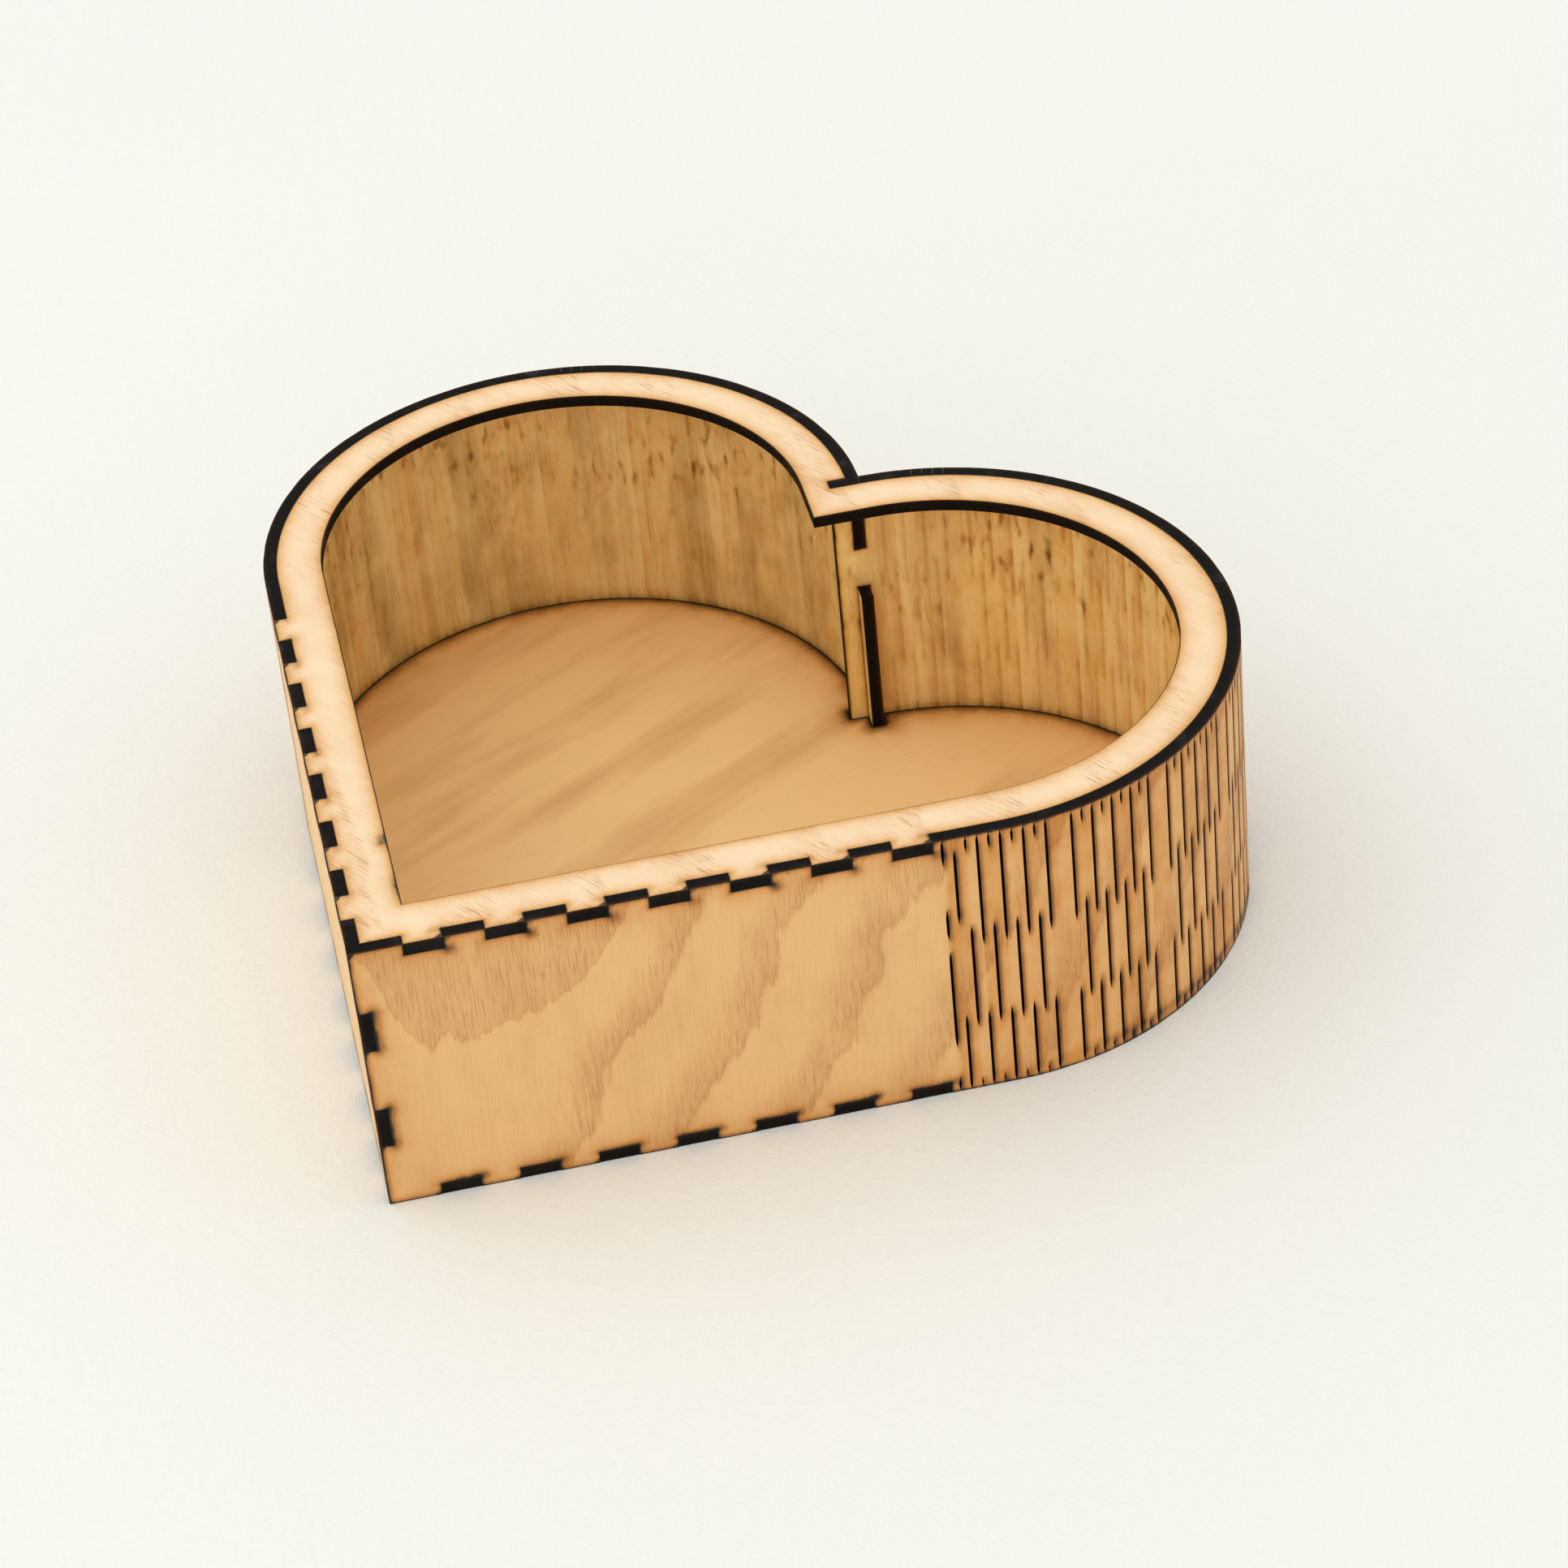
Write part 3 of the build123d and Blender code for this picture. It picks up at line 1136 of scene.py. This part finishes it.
    def rounded_tongue(self, flat: Array) -> Array:
        """Round the tongue's upper corner.

        Within the corner square, with a and b from 0 to 1 along its sides, the point moves to
        a * sqrt(1 - b b / 2), b * sqrt(1 - a a / 2), which leaves the two inner sides where they are.

        Args:
            flat: The grid of developed points.

        Returns:
            The grid with its corner rounded.
        """
        size = self.plan.tongue_round
        start = np.array([self.plan.wall_end - size, self.plan.tongue_top - size])
        part = (flat - start) / size
        inside = (part >= -TINY).all(-1) & (part <= 1 + TINY).all(-1)
        a, b = part[..., 0], part[..., 1]
        bent = np.stack([a * np.sqrt(np.maximum(1 - b * b / 2, 0)),
                         b * np.sqrt(np.maximum(1 - a * a / 2, 0))], axis=-1)
        return np.where(inside[..., None], start + bent * size, flat)

    def soot(self, points: Array, hinge: HingeLayout) -> Array:
        """Soot beside the cuts: at the sheet's ends and foot, and in spots at tabs, slots and slits; and
        painted shade in a band round the lobe at the floor's top.

        Args:
            points: Developed points.
            hinge: The columns of slits.

        Returns:
            A number for each point.
        """
        plan = self.plan
        rng = np.random.default_rng(self.seed)
        top = plan.height - plan.ply
        spots = []
        for start in plan.tab_starts():
            end = start + plan.finger
            # Where a spot lies, its two sizes, and the least and greatest strength
            for x, z, wide, tall, least, most in (
                    (end + 0.6, top - 0.4, 1.5, 1.9, 0.30, 0.50),
                    (end + 1.8, top - 1.0, 2.4, 1.9, 0.08, 0.25),
                    (start - 0.7, top, 1.6, 1.3, 0.06, 0.22),
                    (end - 2.2, plan.ply + 0.3, 4.2, 1.3, 0.30, 0.55),
                    (end + 0.8, plan.ply, 1.9, 1.7, 0.22, 0.42),
                    (start + 1.0, plan.ply + 0.2, 2.6, 1.0, 0.12, 0.40)):
                spots.append((x, z, wide, tall, rng.uniform(least, most)))
        for low, high in plan.tip_tabs():
            spots += [(plan.ply + 0.3, (low + high) / 2, 1.6, 6.2, 0.50),
                      (plan.ply + 0.9, high - 0.2, 2.0, 1.8, 0.34),
                      (plan.ply + 0.6, low + 0.2, 1.8, 2.0, 0.32)]
        for where, slits in hinge.columns():
            for end in (z for pair in slits for z in pair if 0 < z < plan.height):
                spots.append((where + 0.4, end, 1.0, rng.uniform(1.4, 3.2), rng.uniform(0.04, 0.34)))
        total = 0.42 * np.exp(-(points[:, 0] / 1.0) ** 2) + 0.28 * np.exp(-(points[:, 1] / 1.1) ** 2)
        # Painted shade in the corner between wall and floor: round the lobe, a band darker at the floor
        # plate's top, on both faces of the wall.
        lobe_corner_shade = np.clip((points[:, 0] - plan.side) / 40.0, 0, 1) * (points[:, 0] < plan.arc_end)
        total += 0.42 * lobe_corner_shade * np.exp(-((points[:, 1] - plan.ply) / 1.6) ** 2)
        return spotted(total, points, spots)

    def smoke(self, points: Array, hinge: HingeLayout) -> Array:
        """Smoke beside the slits: exp(-(gap / reach)^2), thinner towards both ends of the slit.

        Args:
            points: Developed points.
            hinge: The columns of slits.

        Returns:
            A number for each point, greatest on the far side of a slit.
        """
        half = hinge.front_width / 2
        total = np.zeros(len(points))
        for where, slits in hinge.columns():
            gap = points[:, 0] - where
            away = np.maximum(np.abs(gap) - half, 0)
            across = np.where(gap > 0, np.exp(-(away / self.smoke_reach) ** 2),
                              self.near_share * np.exp(-(away / self.near_reach) ** 2))
            for low, high in slits:
                inside = np.minimum(points[:, 1] - low + 0.3, high + 0.3 - points[:, 1])
                rise = np.clip(inside / 3.0, 0, 1)
                edge = (inside > 0) * (0.25 + 0.75 * rise)
                total = np.maximum(total, across * edge)
        return total

    def painted_strip_shades(self, points: Array, hinge: HingeLayout) -> Array:
        """Painted shade for each strip between neighbouring columns, steady across the strip: it stands in
        for the light on strips that twist as the hinge bends.

        Args:
            points: Developed points.
            hinge: The columns of slits.

        Returns:
            A number for each point, 0 on the straight panel.
        """
        rng = np.random.default_rng(self.seed + 40)
        where = np.array([column for column, _ in hinge.columns()])
        tones = np.concatenate([[0.0], rng.uniform(0.35, 1.2, len(where))])
        tones[-1] = 0.4
        strip = np.searchsorted(where, points[:, 0])
        fade = np.clip((points[:, 0] - where[0]) / 1.0, 0, 1)
        return tones[strip] * fade

    def placer(self, hinge: HingeLayout) -> Callable[[Array, Array], Array]:
        """The bend: straight runs, and chords between the slit columns round the lobe.

        A column at distance s lies at angle (s - side) / radius round the lobe's centre. Between
        columns the sheet stays flat, so a point's place is the linear mix of its two neighbours', for
        the outer radius and for the radius less the depth alike.

        Args:
            hinge: The columns of slits.

        Returns:
            The function that places developed points at their depths.
        """
        plan = self.plan
        on_lobe = [s for s, _ in hinge.columns() if plan.side + 0.5 < s < plan.arc_end]
        knots = np.array([0.0, plan.side, *on_lobe, plan.arc_end, plan.wall_end])
        centre = np.array([plan.side, plan.radius])
        angle = np.clip((knots - plan.side) / plan.radius, 0, math.pi)
        outward = np.stack([np.sin(angle), -np.cos(angle)], axis=-1)
        base = centre + plan.radius * outward
        base[0] = (0.0, 0.0)
        base[-1] = (plan.side - plan.ply - plan.tail, plan.side)
        inner = base - outward

        def place(flat: Array, depth: Array) -> Array:
            """Place developed points at their depths."""
            left = np.clip(np.searchsorted(knots, flat[:, 0], side="right") - 1, 0, len(knots) - 2)
            share = ((flat[:, 0] - knots[left]) / (knots[left + 1] - knots[left]))[:, None]
            outer_point = base[left] * (1 - share) + base[left + 1] * share
            inner_point = inner[left] * (1 - share) + inner[left + 1] * share
            plan_xy = outer_point + (inner_point - outer_point) * depth[:, None]
            if self.side is Side.LEFT:
                plan_xy = plan_xy[:, ::-1]
            return plan.to_row(plan_xy, flat[:, 1])

        return place


# ---------------------------------------------------------------------------------------------------
# Plates
# ---------------------------------------------------------------------------------------------------

@dataclass
class Plate:
    """A flat plate of the heart's shape with tabs through both straight walls.

    Attributes:
        plan: The heart's plan.
        name: The CAD node that it stands for.
        bottom: Height of its underside, in millimetres.
        open_middle: Whether it is a ring.
        notches: Whether the right wall's end and the left wall's end pass through it at the cleft.
        finishes: Upper, lower and edge materials.
        seed: Starts the random soot.
        arc_steps: Cells round each lobe.
    """

    plan: Plan
    name: str
    bottom: float
    open_middle: bool
    notches: tuple[bool, bool]
    finishes: Sequence[bpy.types.Material]
    seed: int = 5
    arc_steps: int = 96

    def lines(self) -> Array:
        """Grid lines, the same along x and y, and symmetrical about the middle of the side."""
        plan = self.plan
        marks = [0.0, plan.radius, *[plan.rim_width - inset for inset in (1.6, 0.6, 0.0)],
                 *[plan.ply + beside for beside in (0.0, 0.7, 1.8, 3.5, plan.tail, 6.5)]]
        for start in plan.tab_starts():
            marks += [start, start + plan.finger]
        marks = merge_close(marks + [plan.side - m for m in marks], 0.05)
        return filled_lines(marks, 2.6)

    def square_patch(self, lines: Array) -> Patch:
        """The plate inside the heart's square, with its tabs and notches.

        Args:
            lines: Grid lines along either side of the square.

        Returns:
            The grid, with the cells of the plate kept.
        """
        plan = self.plan
        points = np.stack(np.meshgrid(lines, lines), axis=-1)
        middle = (points[:-1, :-1] + points[1:, 1:]) / 2
        x, y = middle[..., 0], middle[..., 1]
        low, high = np.minimum(x, y), np.maximum(x, y)
        keep = (low > plan.ply) & ((high < plan.side - plan.ply) | (low < plan.side - plan.ply))
        if self.open_middle:
            far = plan.side - plan.rim_width
            keep &= (low < plan.rim_width) | (low > far)
        across = (high - plan.ply - plan.finger) / (2 * plan.finger)
        tab = (across - np.floor(across) < 0.5) & (across > 0) & (across < plan.tab_count)
        keep |= (low < plan.ply) & (high > plan.ply) & tab
        near = plan.side - plan.ply - plan.tail
        far = plan.side - plan.ply
        if self.notches[0]:
            keep &= ~((x > near) & (x < far) & (y > far))
        if self.notches[1]:
            keep &= ~((y > near) & (y < far) & (x > far))
        return Patch(points, keep)

    def lobe_patch(self, lines: Array, mirrored: bool) -> Patch:
        """One lobe as a polar grid: centre + r * (sin a, -cos a), with a from 0 to 180 degrees.

        Args:
            lines: The square's grid lines, which the lobe's radii meet.
            mirrored: Whether it is the left lobe, with x and y exchanged.

        Returns:
            The grid, whole.
        """
        plan = self.plan
        radii = plan.radius - lines[lines <= plan.radius + SLACK]
        radii = radii[radii <= plan.radius - plan.ply + SLACK]
        if self.open_middle:
            radii = radii[radii >= plan.radius - plan.rim_width - SLACK]
        angle, radius = np.meshgrid(np.linspace(0, math.pi, self.arc_steps + 1), radii)
        points = np.stack([plan.side + radius * np.sin(angle),
                           plan.radius - radius * np.cos(angle)], axis=-1)
        if mirrored:
            points = points[:, ::-1, ::-1]
        return Patch(points, np.ones((len(radii) - 1, self.arc_steps), bool))

    def soot(self, points: Array) -> Array:
        """Soot on the upper face: at both ends of each tab, and on the left arm's inner edge.

        Args:
            points: Points in the plan.

        Returns:
            A number for each point.
        """
        plan = self.plan
        rng = np.random.default_rng(self.seed)
        spots = []
        for start in plan.tab_starts():
            end = start + plan.finger
            for flip in (False, True):
                spot = (end - 1.2, plan.ply + 0.1, 2.2, 1.3, rng.uniform(0.22, 0.48))
                other = (start + 0.8, plan.ply - 0.2, 1.6, 1.2, rng.uniform(0.05, 0.25))
                for x, y, wide, tall, strength in (spot, other):
                    spots.append((y, x, tall, wide, strength) if flip else (x, y, wide, tall, strength))
        spots.append((plan.rim_width - 1.0, 37.5, 1.6, 2.6, 0.7))
        spots.append((plan.rim_width - 0.6, 21.0, 0.9, 5.0, 0.45))
        return spotted(np.zeros(len(points)), points, spots)

    def build(self) -> bpy.types.Object:
        """Weld the square and the two lobes and give the plate its thickness, upper face first."""
        plan = self.plan
        lines = self.lines()
        patches = [self.square_patch(lines), self.lobe_patch(lines, False), self.lobe_patch(lines, True)]
        sheet = Sheet.from_patches(f"{self.name}_veneer", plan.ply, patches, round_edge=0.18)
        edges = sheet.rim_edges()
        cut = distance_to_segments(sheet.flat, sheet.flat[edges[:, 0]], sheet.flat[edges[:, 1]])
        none = np.zeros(len(cut))
        soot = self.soot(sheet.flat) if self.open_middle else none
        sheet.fields = {"cut": cut, "smoke": none, "soot": soot, "tone": none}

        def place(flat: Array, depth: Array) -> Array:
            """Lay developed points in the plate's plane, depth downwards."""
            return plan.to_row(flat, self.bottom + plan.ply - depth)

        piece = sheet.build(place, self.finishes)
        LOG.info("%s: %d faces", piece.name, len(piece.data.polygons))
        return piece


# ---------------------------------------------------------------------------------------------------
# The box, the studio and the camera
# ---------------------------------------------------------------------------------------------------

@dataclass
class HeartBox:
    """The whole box: four sheets, each standing for one CAD node."""

    plan: Plan

    def finishes(self) -> dict[str, bpy.types.Material]:
        """Every material of the box, by name."""
        outside = {"toast": 0.9, "toast_reach": 2.6, "beside_slit": 0.66, "strip_shade_strength": 1.3}
        inside = {"band_strength": 0.1, "fleck": 0.3, "soot": 0.6, "tooth": 0.4, "scorch_and_rim_shade": 0.6}
        veneers = [
            # Lit and shaded copies of one ply: the left wall's outside and the right wall's inside are
            # painted paler, where the key light from the left falls on them, and the left wall's inside is
            # painted darker, facing away from it.
            Veneer("right_wall_front", srgb(231, 184, 123), srgb(198, 145, 86), cathedral=True,
                   band_strength=0.38, hair=0.40, blotch=1.0, **outside),
            Veneer("left_wall_front", srgb(246, 208, 154), srgb(212, 160, 100), band_start=31.0,
                   band_strength=0.34, hair=0.45, blotch=0.7, seed=41.0, **outside),
            Veneer("right_wall_inside", srgb(252, 228, 160), srgb(204, 166, 98), streak=1.5, blotch=1.3,
                   seed=31.0, beside_slit=0.28, **inside),
            Veneer("left_wall_inside", srgb(240, 214, 146), srgb(176, 143, 80), streak=1.3, blotch=1.8,
                   seed=71.0, beside_slit=0.15, **inside),
            Veneer("rim_top", srgb(253, 226, 189), srgb(224, 168, 110), grain_turn=-35.0,
                   band_strength=0.10, blotch=0.6, fleck=1.0, pore=srgb(206, 142, 86), pore_start=0.53,
                   hair=0.6, seed=57.0, toast=1.3, toast_reach=2.0, tooth=0.3),
            # The floor's wide burnt and toasted edge is partly painted shade in the corner where floor and
            # walls meet.
            Veneer("floor_top", srgb(252, 210, 145), srgb(216, 164, 100), grain_turn=58.0, band_strength=0.0,
                   streak=1.8, streak_rate=0.05, blotch=0.3, fleck=0.1, hair=0.1, seed=83.0, halo_and_corner_shade=2.6,
                   joint_burn=1.0, toast=0.8, toast_reach=4.0, tooth=0.1),
            Veneer("plate_underside", srgb(236, 192, 136), srgb(206, 154, 96), seed=97.0),
        ]
        edges = [CharredEdge("charred_edge"), CharredEdge("charred_plate_edge", 0.1, 0.9)]
        return {finish.name: finish.material() for finish in (*veneers, *edges)}

    def build(self) -> None:
        """Build every sheet and tie it to the frame."""
        plan = self.plan
        looks = self.finishes()
        wall_looks = {side: [looks[f"{side.value}_front"], looks[f"{side.value}_inside"],
                             looks["charred_edge"]] for side in Side}
        plate_looks = {name: [looks[name], looks["plate_underside"], looks["charred_plate_edge"]]
                       for name in ("rim_top", "floor_top")}
        floor = Plate(plan, "floor_plate", 0.0, False, (True, True), plate_looks["floor_top"])
        rim_bottom = plan.height - plan.ply
        rim = Plate(plan, "rim_ring", rim_bottom, True, (True, False), plate_looks["rim_top"])
        pieces = {
            "floor_plate": (floor, "floor_ply"),
            "rim_ring": (rim, "rim_ply"),
            "right_wall": (Wall(plan, Side.RIGHT, wall_looks[Side.RIGHT], seed=1), "right_wall_ply"),
            "left_wall": (Wall(plan, Side.LEFT, wall_looks[Side.LEFT], seed=2), "left_wall_ply"),
        }
        for node, (maker, slot) in pieces.items():
            piece = maker.build()
            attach(piece, "root")
            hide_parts(node)
            LOG.info("%s stands for %s", piece.name, node)


@dataclass
class Studio:
    """Pale floor, soft lights and the camera.

    Attributes:
        camera_at: Where the camera stands, in metres.
        right: Direction that runs to the right in the picture.
        down: Direction that runs down in it.
        lens: Focal length, in millimetres, on a sensor 36 mm wide.
        floor_half: Half the side of the cloth, in metres.
        sky: Colour of the light from all round.
        sky_strength: Its strength.
    """

    camera_at: tuple[float, float, float] = (0.5854, -0.73125, 0.7503)
    right: tuple[float, float, float] = (0.83291, 0.54742, -0.08124)
    down: tuple[float, float, float] = (0.2799, -0.54333, -0.79149)
    lens: float = 116.16
    floor_half: float = 3.0
    sky: Colour = (1.0, 0.997, 0.972)
    sky_strength: float = 0.93

    def build_floor(self) -> None:
        """A flat square of cloth under the box."""
        size = self.floor_half
        mesh = bpy.data.meshes.new("studio_floor")
        mesh.from_pydata([(-size, -size, 0), (size, -size, 0), (size, size, 0), (-size, size, 0)], [],
                         [(0, 1, 2, 3)])
        mesh.materials.append(PaleFelt().material())
        floor = bpy.data.objects.new("studio_floor", mesh)
        bpy.context.scene.collection.objects.link(floor)
        floor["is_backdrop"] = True

    def add_light(self, name: str, place: Sequence[float], size: float, power: float, colour: Colour) -> None:
        """Add a square area light aimed at the middle of the box.

        Args:
            name: The light's name.
            place: Where it stands, in metres.
            size: Its side, in metres.
            power: Its power, in watts.
            colour: Its colour.
        """
        lamp = bpy.data.lights.new(name, "AREA")
        lamp.shape = "SQUARE"
        lamp.size = size
        lamp.energy = power
        lamp.color = colour
        light = bpy.data.objects.new(name, lamp)
        aim = Vector((0.0, 0.0, 0.03)) - Vector(place)
        light.rotation_euler = aim.to_track_quat("-Z", "Y").to_euler()
        light.location = place
        bpy.context.scene.collection.objects.link(light)

    def build(self) -> None:
        """Build the floor, world, lights and camera."""
        self.build_floor()
        world = bpy.data.worlds.new("studio")
        bpy.context.scene.world = world
        world.use_nodes = True
        background = world.node_tree.nodes["Background"]
        background.inputs[0].default_value = (*self.sky, 1.0)
        background.inputs[1].default_value = self.sky_strength
        self.add_light("key", (-1.5, -0.8, 2.0), 2.6, 9.5, (1.0, 0.995, 0.98))
        self.add_light("fill", (0.9, -1.9, 1.2), 1.8, 5.0, (1.0, 0.99, 0.96))
        bpy.context.scene.view_settings.view_transform = "Standard"
        camera = bpy.data.cameras.new("camera")
        camera.lens = self.lens
        camera.sensor_width = 36.0
        camera.clip_end = 20.0
        eye = bpy.data.objects.new("camera", camera)
        right, down = Vector(self.right).normalized(), Vector(self.down)
        up = -(down - right * down.dot(right)).normalized()
        axes = Matrix((right, up, right.cross(up))).transposed()
        eye.matrix_world = Matrix.Translation(self.camera_at) @ axes.to_4x4()
        bpy.context.scene.collection.objects.link(eye)
        bpy.context.scene.camera = eye


def main() -> None:
    """Build the studio and the box."""
    Studio().build()
    plan = Plan.from_frame()
    LOG.info("side %.3f mm, ply %.3f mm, height %.3f mm", plan.side, plan.ply, plan.height)
    HeartBox(plan).build()
    bpy.context.view_layer.update()


if __name__ == "__main__":
    main()
